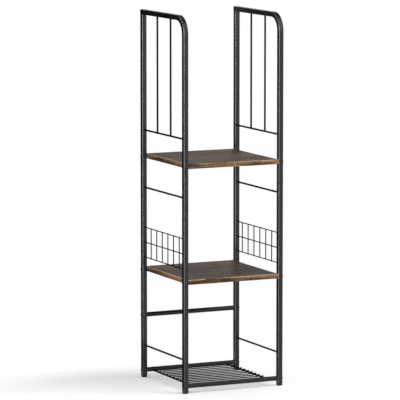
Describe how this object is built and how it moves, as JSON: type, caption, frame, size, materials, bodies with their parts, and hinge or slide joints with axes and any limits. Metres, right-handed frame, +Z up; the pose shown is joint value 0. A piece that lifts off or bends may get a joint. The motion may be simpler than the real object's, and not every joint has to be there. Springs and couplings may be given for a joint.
{
  "type": "towel storage rack",
  "caption": "Tall free-standing towel rack: black square-tube side frames with bent tops, guard rods and wire grids, wood boards between them and a wire bottom shelf.",
  "frame": {"origin": "on the floor, under the middle of the rack", "axes": "+Z up, -Y towards the front, +X to the right"},
  "size_m": [0.3472, 0.33, 1.182],
  "materials": {
    "tube_coat": "semi-gloss black powder coat",
    "wire_coat": "semi-gloss black powder coat",
    "board_laminate": "matt rustic wood laminate",
    "edge_band": "matt rustic wood edge band",
    "cap_plastic": "moulded, satin black",
    "connector_plastic": "moulded, matt",
    "bolt_black": "black zinc",
    "zinc_steel": "zinc plated"
  },
  "bodies": {
    "root": {"brace_bolts": "bolt_black", "brace_nuts": "zinc_steel", "front_shelf_rail": "tube_coat", "left_front_foot": "cap_plastic", "left_front_guard_bar": "wire_coat", "left_guard_rod": "wire_coat", "left_lower_front_post": "tube_coat", "left_lower_rear_post": "tube_coat", "left_lower_rod": "wire_coat", "left_middle_front_post": "tube_coat", "left_middle_rear_post": "tube_coat", "left_middle_rod": "wire_coat", "left_rail_plug": "cap_plastic", "left_rear_foot": "cap_plastic", "left_rear_guard_bar": "wire_coat", "left_upper_front_tube": "tube_coat", "left_upper_rear_post": "tube_coat", "left_wire_grid": "wire_coat", "lower_board": "board_laminate", "lower_board_bolts": "bolt_black", "lower_board_front_edging": "edge_band", "lower_board_inserts": "zinc_steel", "lower_board_left_edging": "edge_band", "lower_board_rear_edging": "edge_band", "lower_board_right_edging": "edge_band", "lower_post_connectors": "connector_plastic", "rear_brace": "tube_coat", "rear_shelf_rail": "tube_coat", "right_front_foot": "cap_plastic", "right_front_guard_bar": "wire_coat", "right_guard_rod": "wire_coat", "right_lower_front_post": "tube_coat", "right_lower_rear_post": "tube_coat", "right_lower_rod": "wire_coat", "right_middle_front_post": "tube_coat", "right_middle_rear_post": "tube_coat", "right_middle_rod": "wire_coat", "right_rail_plug": "cap_plastic", "right_rear_foot": "cap_plastic", "right_rear_guard_bar": "wire_coat", "right_upper_front_tube": "tube_coat", "right_upper_rear_post": "tube_coat", "right_wire_grid": "wire_coat", "shelf_rail_bolts": "bolt_black", "shelf_rail_nuts": "zinc_steel", "upper_board": "board_laminate", "upper_board_bolts": "bolt_black", "upper_board_front_edging": "edge_band", "upper_board_inserts": "zinc_steel", "upper_board_left_edging": "edge_band", "upper_board_rear_edging": "edge_band", "upper_board_right_edging": "edge_band", "upper_post_connectors": "connector_plastic", "wire_deck": "wire_coat"}
  },
  "joints": []
}
